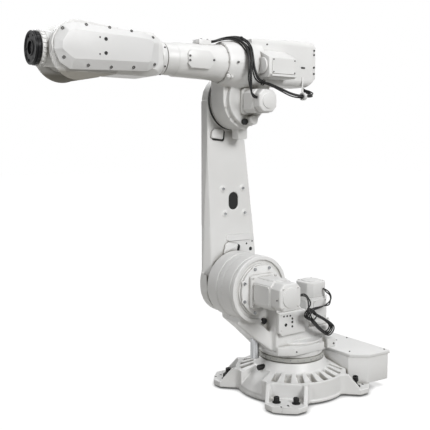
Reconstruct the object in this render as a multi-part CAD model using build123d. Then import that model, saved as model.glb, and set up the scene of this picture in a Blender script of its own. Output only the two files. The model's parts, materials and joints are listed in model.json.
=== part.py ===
from build123d import *
import math
import os

# Six-axis jointed arm. Millimetres: +X forward, +Y left, +Z up, origin on the floor under the first axis.

# Axes
SHOULDER_X = 362.0
SHOULDER_Z = 694.0
LOWER_ARM = 1098.0
ELBOW_RISE = 197.0
UPPER_ARM = 1105.0
TOOL_REACH = 193.0
ELBOW_X = SHOULDER_X
ELBOW_Z = SHOULDER_Z + LOWER_ARM
ROLL_Z = ELBOW_Z + ELBOW_RISE
TILT_X = ELBOW_X + UPPER_ARM
FLANGE_FACE_X = TILT_X + TOOL_REACH

# Running gaps between bodies, and how far a cutting shape passes through
GAP = 6.0
BEARING_GAP = 0.3
PAST = 2.0

# Floor pads and feet
PAD_R = 38.0
PAD_H = 12.0
FOOT_T = 33.0
FOOT_HALF = 123.0
FOOT_SHOULDER = 438.0
FOOT_TIP = 528.0
FOOT_TIP_HALF = 33.0
FOOT_WALL_T = 24.0
FOOT_POCKET_R = 345.0
FOOT_POCKET_CORNER = 18.0
FOOT_SLOPE_R0 = 360.0
FOOT_SLOPE_R1 = 428.0
FOOT_SLOPE_LIP = 10.0
FOOT_BLEND = 40.0
BOLT_FAR = 330.0
BOLT_NEAR = 250.0
BOLT_HOLE_R = 11.5
BOLT_SEAT_R = 26.0
DOWEL_R = 6.0
DOWEL_Y = 332.0
DOWEL_X = (309.0, 356.0)
FOOT_TOP = PAD_H + FOOT_T

# Base casting
RIM_R = 337.0
RIM_TOP = 135.0
RIM_WALL = 22.0
RIM_LIP = 5.0
RIM_LIP_H = 16.0
DECK_KNEE_R = 231.0
DECK_KNEE_Z = 164.0
HUB_R = 209.0
HUB_TOP = 212.0
SEAT_R = 150.0
RIB_PITCH = 15.0
RIB_FIRST = 30.0
RIB_LAST = 135.0
POCKET_W = 38.0
POCKET_DEPTH = 26.0
POCKET_INSET = 5.0
RECESS_HALF_DEG = 17.0
RECESS_R = 238.0
RECESS_TOP = 150.0
RECESS_OUT = 350.0
RECESS_LOW = 34.0
HUB_PLUG_R = 17.0
HUB_PLUG_OUT = 26.0
HUB_PLUG_Z = 172.0

# Cable box behind the base
BOX_REAR_X = -531.0
BOX_REAR_Y = 356.0
BOX_SIDE_X = -343.0
BOX_SIDE_Y = 343.0
BOX_NOSE_X = -251.0
BOX_NOSE_Y = 265.0
BOX_BOTTOM = FOOT_TOP
BOX_TOP = 232.0
BOX_CORNER = 12.0
LID_T = 20.0
LID_OVER = 8.0
LID_EDGE = 6.0

# Turntable
RING_Z = HUB_TOP + GAP
RING_H = 26.0
RING_R = 207.0
RING_TOP = RING_Z + RING_H
DRUM_R = 199.0
DECK_RISE = 96.0
DECK_Z = RING_TOP + DECK_RISE
TAIL_X = -236.0
TAIL_HALF = 118.0
TAIL_ROOT_HALF = 168.0
UPRIGHT_FAR_Y = -125.0
UPRIGHT_NEAR_Y = 133.0
SHOULDER_R = 198.0
SHOULDER_SEAT_R = 130.0
GROOVE_DEPTH = 8.0
GROOVE_W = 8.0
GROOVE_IN = (28.0, 107.0, 157.0)
FACE_GROOVE_R0 = 154.0
FACE_GROOVE_R1 = 174.0
FACE_GROOVE_DEPTH = 12.0
END_RING_R = 146.0
END_RING_T = 15.0
END_LOBES = 8
END_LOBE_R = 15.0
NECK_TOE_X = 216.0
NECK_TOE_RISE = 34.0
NECK_CHIN_X = 362.0
NECK_CHIN_DROP = 276.0
NECK_JAW_X = 456.0
NECK_JAW_DROP = 196.0
NECK_BACK_X = 168.0
NECK_HEEL_X = -28.0
NECK_HEEL_RISE = 124.0
NECK_NEAR_Y = 90.0
NECK_LEAN = 40.0
HOLLOW_FLOOR_Y = 40.0
HOLLOW_TOP_X = 405.0
HOLLOW_TOP_DROP = 94.0
HOLLOW_MID_X = 342.0
HOLLOW_MID_DROP = 198.0
HOLLOW_LOW_X = 249.0
HOLLOW_LOW_DROP = 280.0
HOLLOW_CORNER = 6.0

# Stop pin under the neck
PIN_X = 303.0
PIN_Y = 12.0
PIN_R = 27.0
PIN_LOW = 246.0
PIN_TOP = 420.0

# Motors: half width, corner chamfer, flange, cap and end disc
MOTOR_CHAMFER = 20.0
CAP_CHAMFER = 30.0
CAP_STEP = 3.0
DISC_T = 6.0
DISC_STEP = 20.0
M1_X = -145.0
M1_Y = 20.0
M1_HALF = 82.0
M1_FLANGE_HALF = 92.0
M1_FLANGE_T = 24.0
M1_BASE_Z = 404.0
M1_BODY = 152.0
M1_CAP = 94.0
M2_HALF = 80.0
M2_FLANGE_HALF = 96.0
M2_FLANGE_T = 22.0
M2_BODY = 152.0
M2_CAP = 76.0
M3_HALF = 66.0
M3_FLANGE_HALF = 74.0
M3_FLANGE_T = 20.0
M3_BODY = 92.0
M3_CAP = 52.0
M3_DROP = 12.0

# Fittings on the turntable
CONNECTOR_X0 = 24.0
CONNECTOR_X1 = 236.0
CONNECTOR_Z0 = 396.0
CONNECTOR_H = 141.0
CONNECTOR_T = 27.0
CONNECTOR_CUT = 24.0
CONNECTOR_EDGE = 4.0
COVER_Y = 210.0
COVER_X0 = -86.0
COVER_X1 = 176.0
COVER_FRONT_X = 236.0
COVER_FRONT_Y = 150.0
COVER_LOW = 16.0
COVER_H = 66.0
LUG_X0 = -206.0
LUG_X1 = -136.0
LUG_Y0 = 90.0
LUG_Y1 = 190.0
LUG_Z0 = 270.0
LUG_Z1 = 330.0
FRAME_PLUG_X = 264.0
FRAME_PLUG_DROP = 218.0
PLUG_R = 18.0
PLUG_T = 20.0

# Lower arm
ARM_NEAR_Y = UPRIGHT_FAR_Y - GAP
ARM_STEP = 24.0
ARM_WEB_Y = ARM_NEAR_Y - ARM_STEP
ARM_FAR_Y = -245.0
ARM_LOW_R = 190.0
ARM_LOW_HUB_R = 160.0
ARM_TOP_R = 170.0
ARM_FRONT = 174.0
ARM_FAR_EDGE = 26.0
ARM_FACET_W = 24.0
ARM_FACET_DEPTH = 40.0
ARM_FACET_LOW = 334.0
ARM_FACET_TOP = 231.0
ARM_REAR_TOP = 104.0
ARM_REAR_TOP_DROP = 233.0
ARM_REAR_LOW = 190.0
ARM_REAR_LOW_RISE = 195.0
ARM_NECK_BACK = 66.0
ARM_NECK_DROP = 190.0
SLOT_X = 341.0
SLOT_RISE = 499.0
SLOT_W = 72.0
SLOT_H = 107.0
SLOT_DEPTH = 70.0
BOSS_R = 17.0
BOSS_H = 6.0
BOSS_OUT = 74.0
BOSS_UP = 76.0
BOSS_LEAN = 8.0
STOP_H = 18.0
STOP_CORNER = 8.0
STOP_CUT = 20.0
LOW_STOP_X = 370.0
LOW_STOP_RISE = 206.0
LOW_STOP_W = 94.0
LOW_STOP_L = 78.0
LOW_STOP_TURN = 14.0
TOP_STOP_X = 471.0
TOP_STOP_DROP = 194.0
TOP_STOP_W = 84.0
TOP_STOP_L = 58.0
TOP_STOP_TURN = 6.0
SIDE_COVER_T = 14.0
LOW_SIDE_COVER_R = 138.0
TOP_SIDE_COVER_R = 116.0

# Upper arm
LEG_NEAR_Y = 0.0
LEG_FACET = 118.0
LEG_FACET_FAR_Y = -90.0
LEG_FACET_TURN = 135.0
ADAPTER_R = 150.0
ADAPTER_T = 30.0
LEG_R = 170.0
ELBOW_SEAT_R = 110.0
LEG_LUG_X0 = -50.0
LEG_LUG_X1 = 18.0
LEG_LUG_DROP = 226.0
LEG_LUG_NEAR_Y = -60.0
LEG_LUG_CORNER = 14.0
LEG_BOSS_X = 2.0
LEG_BOSS_DROP = 117.0
LEG_BOSS_R = 27.0
LEG_BOSS_T = 44.0
ELBOW_PLUG_X = 48.0
ELBOW_PLUG_DROP = 127.0
COLLAR_FRONT = 206.0
COLLAR_R0 = 116.0
COLLAR_LIP = 18.0
COLLAR_R1 = 122.0
COLLAR_MID = 78.0
COLLAR_R2 = 140.0
COLLAR_REAR = -30.0
TUBE_REAR_R = 104.0
TUBE_FLARE = 74.0
TUBE_MID_R = 96.0
TUBE_NECK_X = 872.0
TUBE_NECK_R = 91.0
TUBE_FRONT_R = 85.0
TUBE_STEP = 12.0
TUBE_FRONT_X = 944.0
HOUSE_REAR = -430.0
HOUSE_FRONT = 40.0
HOUSE_FAR_Y = -104.0
HOUSE_NEAR_Y = 92.0
HOUSE_LOW = 110.0
HOUSE_TOP_REAR = 164.0
HOUSE_TOP_FRONT = 140.0
HOUSE_CUT = 52.0
HOUSE_CORNER = 40.0
REAR_PLATE_T = 25.0
REAR_PLATE_STEP = 5.0
M4_X0 = -200.0
M4_X1 = 6.0
M4_NEAR_Y = 206.0
M4_PLATE_LOW = 62.0
M4_PLATE_TOP = 30.0
M4_LOW = 80.0
M4_TOP = 84.0
M4_EDGE = 16.0
M4_DISC_Y = 150.0
M4_DISC_DROP = 12.0
M4_DISC_R = 46.0
M4_DISC_T = 14.0
TUBE_COVER_X0 = 651.0
TUBE_COVER_X1 = 832.0
TUBE_COVER_HALF = 48.0
TUBE_COVER_CUT = 20.0
TUBE_COVER_POINT = 44.0
TUBE_COVER_RISE = 3.0
TUBE_COVER_DEPTH = 60.0
BRACKET_X0 = 278.0
BRACKET_X1 = 358.0
BRACKET_HALF = 34.0
BRACKET_RISE = 22.0
CLIP_X0 = -354.0
CLIP_W = 14.0
CLIP_T = 4.0
CLIP_LOW = 183.0
CLIP_TOP = 54.0

# Wrist
RING_SEAM_X = TUBE_FRONT_X + GAP
WRIST_RING_R = 88.0
WRIST_RING_T = 30.0
WRIST_STUB_R = 60.0
WRIST_REAR_W = 176.0
WRIST_REAR_H = 184.0
WRIST_REAR_CORNER = 60.0
WRIST_CONE = 74.0
WRIST_TOP = 112.0
WRIST_LOW = 107.0
WRIST_CORNER = 30.0
WRIST_SPLIT = 212.0
FORK_R = 140.0
FORK_DROP = 8.0
FORK_IN_Y = 97.0
FORK_OUT_Y = 126.0
FORK_SEAT_R = 62.0
COVER_WALL = 8.0
COVER_T = 36.0
COVER_FOOT_CORNER = 30.0
COVER_PANEL_CORNER = 14.0
COVER_FOOT = [(-429, -52), (-433, 68), (-355, 101), (33, 117), (89, 98), (126, 34),
              (127, -20), (99, -76), (50, -103), (-367, -87)]
COVER_PANEL = [(-369, -38), (-391, 58), (-337, 69), (33, 77), (63, 70), (97, 18),
               (97, -16), (63, -42), (38, -56), (-361, -46)]

# Hand
BARREL_R = 100.0
NECK_R = 84.0
NECK_LENGTH = 134.0
HAND_RING_R = 83.0
HAND_RING_T = 26.0
HAND_STUB_R = 55.0
FLANGE_R = 80.0
FLANGE_T = 29.0
FLANGE_PCD = 125.0
FLANGE_HOLES = 6
FLANGE_HOLE_R = 4.25
FLANGE_HOLE_DEPTH = 18.0
PILOT_R = 31.5
PILOT_DEPTH = 8.0

# Cables: points of the first two from the elbow under the roll axis, of the third from the shoulder
LEAD_R = 8.0
BEND_SHARE = 0.45
HANK_TOP = (84.0, 243.0, 540.0)
HANK_END = (-152.0, 184.0, 386.0)
HANK_SPREAD = (-27.0, 9.0, 37.0)
HANK_LENGTH = 320.0
HANK_W = 84.0
HANK_OPEN_L = 256.0
HANK_OPEN_W = 22.0
HANK_T = 34.0
ARM_CABLE = [(278, 12, 114), (236, 12, 114), (183, 22, 133), (138, 50, 135), (112, 94, 115),
             (108, 140, 67), (110, 158, 3), (106, 164, -53), (102, 167, -107), (98, 169, -149),
             (88, 170, -185), (76, 170, -193), (63, 170, -193)]
ROLL_CABLE = [(278, -12, 114), (236, -12, 114), (178, -4, 135), (122, 26, 147), (92, 84, 129),
              (84, 136, 87), (86, 160, 17), (80, 166, -45), (64, 170, -87), (28, 170, -109),
              (-37, 162, -117), (-122, 150, -137), (-216, 132, -160), (-302, 114, -171),
              (-352, 105, -167), (-396, 96, -161), (-420, 78, -151), (-418, 56, -137), (-400, 46, -127),
              (-390, 46, -121), (-390, 46, -110)]
SHOULDER_LEAD = [(-77, 376, -4), (-112, 376, -4), (-154, 362, -20), (-192, 336, -58), (-224, 304, -100),
                 (-252, 276, -130), (-272, 256, -145)]
YAW_LEAD = [(-178, 99, 628), (-178, 126, 628), (-190, 150, 606), (-184, 168, 578), (-146, 182, 556),
            (-76, 194, 542), (6, 206, 538), (74, 224, 541)]


def block(x0, x1, y0, y1, z0, z1):
    centre = ((x0 + x1) / 2, (y0 + y1) / 2, (z0 + z1) / 2)
    return Pos(*centre) * Box(x1 - x0, y1 - y0, z1 - z0)


def rod_x(x0, x1, y, z, r):
    return Pos((x0 + x1) / 2, y, z) * Rot(0, 90, 0) * Cylinder(r, x1 - x0)


def rod_y(x, y0, y1, z, r):
    return Pos(x, (y0 + y1) / 2, z) * Rot(90, 0, 0) * Cylinder(r, y1 - y0)


def rod_z(x, y, z0, z1, r):
    return Pos(x, y, (z0 + z1) / 2) * Cylinder(r, z1 - z0)


def tube_y(x, y0, y1, z, r0, r1):
    return rod_y(x, y0, y1, z, r1) - rod_y(x, y0 - PAST, y1 + PAST, z, r0)


def side_plane(y):
    # Sketch axes are X and Z; the extrusion runs toward -Y.
    return Plane(origin=(0, y, 0), x_dir=(1, 0, 0), z_dir=(0, -1, 0))


def front_plane(x):
    # Sketch axes are Y and Z; the extrusion runs toward +X.
    return Plane(origin=(x, 0, 0), x_dir=(0, 1, 0), z_dir=(1, 0, 0))


def polygon(outline, corner=0.0):
    shape = make_face(Polyline(*outline, close=True))
    return fillet(shape.vertices(), corner) if corner > 0 else shape


def side_prism(outline, y0, y1, corner=0.0):
    return extrude(side_plane(y1) * polygon(outline, corner), y1 - y0)


def plan_prism(outline, z0, z1, corner=0.0):
    return extrude(Plane.XY.offset(z0) * polygon(outline, corner), z1 - z0)


def front_prism(outline, x0, x1, corner=0.0):
    return extrude(front_plane(x0) * polygon(outline, corner), x1 - x0)


def turned_z(outline, degrees=360.0):
    return revolve(Plane.XZ * polygon(outline), Axis.Z, degrees)


def turned_roll(outline):
    # Outline points are X and the radius from the roll axis.
    face = side_plane(0) * polygon([(x, ROLL_Z + r) for x, r in outline])
    return revolve(face, Axis((0, 0, ROLL_Z), (1, 0, 0)))


def cord(offsets, start=(0, 0, 0), r=LEAD_R):
    # Straight runs joined by the largest arcs that they leave room for.
    points = [tuple(Vector(*start) + Vector(*offset)) for offset in offsets]
    spots = [Vector(*point) for point in points]
    bends = []
    for a, b, c in zip(spots, spots[1:], spots[2:]):
        turn = math.radians((b - a).get_angle(c - b))
        shorter = min((b - a).length, (c - b).length)
        bends.append(BEND_SHARE * shorter / math.tan(turn / 2))
    path = FilletPolyline(*points, radius=bends)
    print("cord length", round(path.length), "bends", [round(bend) for bend in bends])
    return sweep(Plane(origin=path @ 0, z_dir=path % 0) * Circle(r), path)


# Motors stand along +Z on their flange; other motors are turned from this one.
def motor_body(half, flange_half, flange_t, length):
    flange = fillet(Box(2 * flange_half, 2 * flange_half, flange_t).edges().filter_by(Axis.Z), MOTOR_CHAMFER)
    body = chamfer(Box(2 * half, 2 * half, length).edges().filter_by(Axis.Z), MOTOR_CHAMFER)
    return Pos(0, 0, flange_t / 2) * flange + Pos(0, 0, flange_t + length / 2) * body


def motor_cap(half, length):
    size = 2 * (half - CAP_STEP)
    cap = chamfer(Box(size, size, length).edges().filter_by(Axis.Z), CAP_CHAMFER)
    cap = Pos(0, 0, length / 2) * cap
    cap = chamfer(cap.faces().sort_by(Axis.Z)[-1].edges(), DISC_T)
    return cap + Pos(0, 0, length + DISC_T / 2) * Cylinder(half - CAP_STEP - DISC_STEP, DISC_T)


def along_y(shape, x, y, z):
    return Pos(x, y, z) * Rot(-90, 0, 0) * shape


# Base
def bolt_places():
    places = []
    for sx in (1, -1):
        for sy in (1, -1):
            places.append((sx * BOLT_FAR, sy * BOLT_NEAR))
            places.append((sx * BOLT_NEAR, sy * BOLT_FAR))
    return places


def base_plan():
    foot = polygon([(0, -FOOT_HALF), (FOOT_SHOULDER, -FOOT_HALF), (FOOT_TIP, -FOOT_TIP_HALF),
                    (FOOT_TIP, FOOT_TIP_HALF), (FOOT_SHOULDER, FOOT_HALF), (0, FOOT_HALF)])
    plan = Circle(RIM_R)
    for quarter in range(4):
        plan += Rot(0, 0, 45 + 90 * quarter) * foot
    inner = [v for v in plan.vertices() if math.hypot(v.X, v.Y) < RIM_R + PAST]
    return fillet(inner, FOOT_BLEND)


def foot_cut():
    # What is cleared above the foot plate: the sloped wall tops and the bolt pocket between them.
    far = FOOT_TIP + FOOT_BLEND
    side = FOOT_HALF + FOOT_BLEND
    slope = side_prism([(FOOT_SLOPE_R0, RIM_TOP + PAST), (FOOT_SLOPE_R0, RIM_TOP),
                        (FOOT_SLOPE_R1, FOOT_TOP + FOOT_SLOPE_LIP), (FOOT_SLOPE_R1, FOOT_TOP),
                        (far, FOOT_TOP), (far, RIM_TOP + PAST)], -side, side)
    half = FOOT_HALF - FOOT_WALL_T
    pocket = plan_prism([(FOOT_POCKET_R, -half), (far, -half), (far, half), (FOOT_POCKET_R, half)],
                        FOOT_TOP, RIM_TOP + PAST, FOOT_POCKET_CORNER)
    return slope + pocket


def recess():
    cut = turned_z([(RECESS_R, HUB_TOP), (RECESS_R, RECESS_TOP), (RECESS_OUT, RECESS_LOW),
                    (RECESS_OUT + FOOT_BLEND, RECESS_LOW), (RECESS_OUT + FOOT_BLEND, HUB_TOP)],
                   2 * RECESS_HALF_DEG)
    return Rot(0, 0, -RECESS_HALF_DEG) * cut


def base_deck():
    rim_in = RIM_R - RIM_WALL
    return turned_z([(0, FOOT_TOP), (rim_in, FOOT_TOP), (rim_in, RIM_TOP), (DECK_KNEE_R, DECK_KNEE_Z),
                     (HUB_R, HUB_TOP), (SEAT_R, HUB_TOP), (SEAT_R, RING_Z - BEARING_GAP),
                     (0, RING_Z - BEARING_GAP)])


def base_casting():
    shape = extrude(Plane.XY.offset(PAD_H) * base_plan(), RIM_TOP - PAD_H)
    shape += rod_z(0, 0, PAD_H, PAD_H + RIM_LIP_H, RIM_R + RIM_LIP)
    for quarter in range(4):
        shape -= Rot(0, 0, 45 + 90 * quarter) * foot_cut()
    shape += base_deck()
    floor = RIM_TOP - POCKET_DEPTH
    pocket_in = DECK_KNEE_R + POCKET_INSET
    pocket_out = RIM_R - RIM_WALL + POCKET_INSET
    pocket = side_prism([(pocket_in, RIM_TOP), (pocket_in + POCKET_DEPTH, floor), (pocket_out, floor),
                         (pocket_out, HUB_TOP), (pocket_in, HUB_TOP)], -POCKET_W / 2, POCKET_W / 2)
    steps = round((RIB_LAST - RIB_FIRST) / RIB_PITCH)
    for side in (1, -1):
        for k in range(steps + 1):
            shape -= Rot(0, 0, side * (RIB_FIRST + k * RIB_PITCH)) * pocket
    shape -= recess()
    for x, y in bolt_places():
        shape -= rod_z(x, y, PAD_H - PAST, FOOT_TOP + PAST, BOLT_HOLE_R)
        shape -= rod_z(x, y, FOOT_TOP, RIM_TOP + PAST, BOLT_SEAT_R)
    for sx in (1, -1):
        for sy in (1, -1):
            for x in DOWEL_X:
                shape -= rod_z(sx * x, sy * DOWEL_Y, PAD_H - PAST, FOOT_TOP + PAST, DOWEL_R)
    seat = block(BOX_REAR_X - PAST, BOX_NOSE_X, -BOX_REAR_Y - PAST, BOX_REAR_Y + PAST, BOX_BOTTOM, HUB_TOP)
    return shape - seat


def floor_pads():
    pads = []
    for x, y in bolt_places():
        pads.append(rod_z(x, y, 0, PAD_H, PAD_R) - rod_z(x, y, -PAST, PAD_H + PAST, BOLT_HOLE_R))
    return pads


def box_outline(inset):
    near = [(BOX_NOSE_X, BOX_NOSE_Y - inset), (BOX_SIDE_X + inset / 2, BOX_SIDE_Y - inset),
            (BOX_REAR_X + inset, BOX_REAR_Y - inset)]
    return near + [(x, -y) for x, y in reversed(near)]


def cable_box():
    return plan_prism(box_outline(LID_OVER), BOX_BOTTOM, BOX_TOP - LID_T, BOX_CORNER)


def cable_box_lid():
    lid = plan_prism(box_outline(0), BOX_TOP - LID_T, BOX_TOP, BOX_CORNER)
    return fillet(lid.faces().sort_by(Axis.Z)[-1].edges(), LID_EDGE)


def hub_plug():
    return rod_x(0, RECESS_R + HUB_PLUG_OUT, 0, HUB_PLUG_Z, HUB_PLUG_R) - (base_deck() - recess())


# Turntable
def slew_ring():
    return rod_z(0, 0, RING_Z, RING_TOP, RING_R)


def drum():
    plan = Circle(DRUM_R) + polygon([(0, -TAIL_ROOT_HALF), (TAIL_X, -TAIL_HALF),
                                     (TAIL_X, TAIL_HALF), (0, TAIL_ROOT_HALF)])
    return extrude(Plane.XY.offset(RING_TOP) * plan, DECK_RISE)


M2_Y = UPRIGHT_NEAR_Y + END_RING_T


def neck_outline(lean):
    return polygon([(TAIL_X, DECK_Z), (TAIL_X, M1_BASE_Z), (NECK_HEEL_X, M1_BASE_Z),
                    (NECK_HEEL_X, DECK_Z + NECK_HEEL_RISE), (NECK_BACK_X, SHOULDER_Z),
                    (SHOULDER_X, SHOULDER_Z), (NECK_JAW_X + lean, SHOULDER_Z - NECK_JAW_DROP),
                    (NECK_CHIN_X + lean, SHOULDER_Z - NECK_CHIN_DROP),
                    (NECK_TOE_X, RING_TOP + NECK_TOE_RISE), (0, RING_TOP + NECK_TOE_RISE)])


def neck():
    # The front leans forward toward the near side; only the rear reaches the plane of the connector box.
    far = side_plane(UPRIGHT_FAR_Y) * neck_outline(0)
    near = side_plane(NECK_NEAR_Y) * neck_outline(NECK_LEAN)
    shape = loft([far, near], ruled=True)
    rear = extrude(side_plane(UPRIGHT_NEAR_Y) * neck_outline(0), UPRIGHT_NEAR_Y - NECK_NEAR_Y)
    return shape + (rear & block(TAIL_X, CONNECTOR_X1, NECK_NEAR_Y, UPRIGHT_NEAR_Y, RING_TOP, SHOULDER_Z))


def hollow():
    outline = [(CONNECTOR_X1, SHOULDER_Z - HOLLOW_TOP_DROP), (HOLLOW_TOP_X, SHOULDER_Z - HOLLOW_TOP_DROP),
               (HOLLOW_MID_X, SHOULDER_Z - HOLLOW_MID_DROP), (HOLLOW_LOW_X, SHOULDER_Z - HOLLOW_LOW_DROP),
               (CONNECTOR_X1, SHOULDER_Z - HOLLOW_LOW_DROP)]
    return side_prism(outline, HOLLOW_FLOOR_Y, M2_Y + PAST, HOLLOW_CORNER)


def turntable_casting():
    shape = drum() + neck() + block(LUG_X0, LUG_X1, LUG_Y0, LUG_Y1, LUG_Z0, LUG_Z1)
    shape += rod_y(SHOULDER_X, UPRIGHT_FAR_Y, UPRIGHT_NEAR_Y, SHOULDER_Z, SHOULDER_R)
    shape += rod_y(SHOULDER_X, ARM_NEAR_Y + BEARING_GAP, UPRIGHT_FAR_Y, SHOULDER_Z, SHOULDER_SEAT_R)
    front = block(SHOULDER_X, SHOULDER_X + SHOULDER_R + PAST, UPRIGHT_FAR_Y, UPRIGHT_NEAR_Y,
                  SHOULDER_Z - SHOULDER_R, SHOULDER_Z + SHOULDER_R + PAST)
    for inset in GROOVE_IN:
        y = UPRIGHT_NEAR_Y - inset
        ring = tube_y(SHOULDER_X, y - GROOVE_W, y, SHOULDER_Z, SHOULDER_R - GROOVE_DEPTH, SHOULDER_R + PAST)
        shape -= ring & front
    shape -= tube_y(SHOULDER_X, UPRIGHT_NEAR_Y - FACE_GROOVE_DEPTH, UPRIGHT_NEAR_Y + PAST, SHOULDER_Z,
                    FACE_GROOVE_R0, FACE_GROOVE_R1)
    return shape - hollow()


def shoulder_ring():
    y1 = UPRIGHT_NEAR_Y + END_RING_T
    shape = rod_y(SHOULDER_X, UPRIGHT_NEAR_Y, y1, SHOULDER_Z, END_RING_R)
    for k in range(END_LOBES):
        a = math.radians((k + 0.5) * 360 / END_LOBES)
        x = SHOULDER_X + (END_RING_R - END_LOBE_R / 2) * math.cos(a)
        z = SHOULDER_Z + (END_RING_R - END_LOBE_R / 2) * math.sin(a)
        shape += rod_y(x, UPRIGHT_NEAR_Y, y1, z, END_LOBE_R)
    return shape - hollow()


def shoulder_motor():
    return along_y(motor_body(M2_HALF, M2_FLANGE_HALF, M2_FLANGE_T, M2_BODY), SHOULDER_X, M2_Y, SHOULDER_Z)


def shoulder_motor_cap():
    return along_y(motor_cap(M2_HALF, M2_CAP), SHOULDER_X, M2_Y + M2_FLANGE_T + M2_BODY, SHOULDER_Z)


def yaw_motor():
    return Pos(M1_X, M1_Y, M1_BASE_Z) * motor_body(M1_HALF, M1_FLANGE_HALF, M1_FLANGE_T, M1_BODY)


def yaw_motor_cap():
    return Pos(M1_X, M1_Y, M1_BASE_Z + M1_FLANGE_T + M1_BODY) * motor_cap(M1_HALF, M1_CAP)


def connector_box():
    z1 = CONNECTOR_Z0 + CONNECTOR_H
    shape = side_prism([(CONNECTOR_X0, CONNECTOR_Z0), (CONNECTOR_X1 - CONNECTOR_CUT, CONNECTOR_Z0),
                        (CONNECTOR_X1, CONNECTOR_Z0 + CONNECTOR_CUT), (CONNECTOR_X1, z1), (CONNECTOR_X0, z1)],
                       UPRIGHT_NEAR_Y, UPRIGHT_NEAR_Y + CONNECTOR_T)
    return chamfer(shape.faces().sort_by(Axis.Y)[-1].edges(), CONNECTOR_EDGE)


def side_cover():
    z0 = RING_TOP + COVER_LOW
    shape = plan_prism([(COVER_X0, 0), (COVER_X0, COVER_Y), (COVER_X1, COVER_Y),
                        (COVER_FRONT_X, COVER_FRONT_Y), (COVER_FRONT_X, 0)], z0, z0 + COVER_H)
    return shape - drum() - neck()


def stop_pin():
    return rod_z(PIN_X, PIN_Y, PIN_LOW, PIN_TOP, PIN_R) - neck()


def frame_plug():
    z = SHOULDER_Z - FRAME_PLUG_DROP
    return rod_y(FRAME_PLUG_X, HOLLOW_FLOOR_Y, HOLLOW_FLOOR_Y + PLUG_T, z, PLUG_R)


# Lower arm
def arm_outline():
    front = SHOULDER_X + ARM_FRONT
    body = polygon([(front, SHOULDER_Z), (front, ELBOW_Z), (ELBOW_X - ARM_NECK_BACK, ELBOW_Z),
                    (ELBOW_X - ARM_NECK_BACK, ELBOW_Z - ARM_NECK_DROP),
                    (ELBOW_X - ARM_REAR_TOP, ELBOW_Z - ARM_REAR_TOP_DROP),
                    (SHOULDER_X - ARM_REAR_LOW, SHOULDER_Z + ARM_REAR_LOW_RISE),
                    (SHOULDER_X - ARM_REAR_LOW, SHOULDER_Z)])
    low = Pos(SHOULDER_X, SHOULDER_Z) * Circle(ARM_LOW_R)
    top = Pos(ELBOW_X, ELBOW_Z) * Circle(ARM_TOP_R)
    return body + low + top


def arm_facet():
    # What the flat along the near front edge takes off: nothing at the top, the full width at the bottom.
    front = SHOULDER_X + ARM_FRONT
    low = SHOULDER_Z + ARM_FACET_LOW
    corner = Vector(front, ARM_WEB_Y, ELBOW_Z - ARM_FACET_TOP)
    on_web = Vector(front - ARM_FACET_W, ARM_WEB_Y, low)
    on_front = Vector(front, ARM_WEB_Y - ARM_FACET_DEPTH, low)
    out = (on_front - corner).cross(on_web - corner)
    plane = Plane(origin=on_web, x_dir=corner - on_web, z_dir=out if out.X > 0 else -out)
    length = 2 * LOWER_ARM
    below = block(SHOULDER_X, front + PAST, ARM_FAR_Y, ARM_WEB_Y + PAST, SHOULDER_Z, ELBOW_Z)
    return extrude(plane * Rectangle(length, length), length) & below


def lower_arm_casting():
    shape = extrude(side_plane(ARM_WEB_Y) * arm_outline(), ARM_WEB_Y - ARM_FAR_Y)
    far = shape.faces().sort_by(Axis.Y)[0]
    shape = chamfer(far.edges(), ARM_FAR_EDGE)
    shape -= arm_facet()
    shape += rod_y(SHOULDER_X, ARM_WEB_Y, ARM_NEAR_Y, SHOULDER_Z, ARM_LOW_HUB_R)
    shape += rod_y(ELBOW_X, ARM_WEB_Y, ARM_NEAR_Y, ELBOW_Z, ARM_TOP_R)
    slot_z = SHOULDER_Z + SLOT_RISE
    slot = Pos(SLOT_X, slot_z) * Rot(0, 0, 90) * SlotOverall(SLOT_H, SLOT_W)
    shape -= extrude(side_plane(ARM_WEB_Y + PAST) * slot, SLOT_DEPTH + PAST)
    for sx in (1, -1):
        for sz in (1, -1):
            x = SLOT_X + sx * BOSS_OUT + sz * BOSS_LEAN
            shape += rod_y(x, ARM_WEB_Y, ARM_WEB_Y + BOSS_H, slot_z + sz * BOSS_UP, BOSS_R)
    return shape


def stop_block(x, z, width, length, turn):
    w, h = width / 2, length / 2
    face = polygon([(-w, -h), (w, -h), (w, h - STOP_CUT), (w - STOP_CUT, h), (-w, h)], STOP_CORNER)
    return extrude(side_plane(ARM_WEB_Y + STOP_H) * Pos(x, z) * Rot(0, 0, turn) * face, STOP_H)


def shoulder_stop():
    return stop_block(LOW_STOP_X, SHOULDER_Z + LOW_STOP_RISE, LOW_STOP_W, LOW_STOP_L, LOW_STOP_TURN)


def elbow_stop():
    return stop_block(TOP_STOP_X, ELBOW_Z - TOP_STOP_DROP, TOP_STOP_W, TOP_STOP_L, TOP_STOP_TURN)


def arm_side_covers():
    y0 = ARM_FAR_Y - SIDE_COVER_T
    return [rod_y(SHOULDER_X, y0, ARM_FAR_Y, SHOULDER_Z, LOW_SIDE_COVER_R),
            rod_y(ELBOW_X, y0, ARM_FAR_Y, ELBOW_Z, TOP_SIDE_COVER_R)]


# Upper arm
COLLAR_FRONT_X = ELBOW_X + COLLAR_FRONT
HOUSE_REAR_X = ELBOW_X + HOUSE_REAR
ADAPTER_Y = LEG_NEAR_Y + ADAPTER_T
M3_Z = ELBOW_Z - M3_DROP


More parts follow.
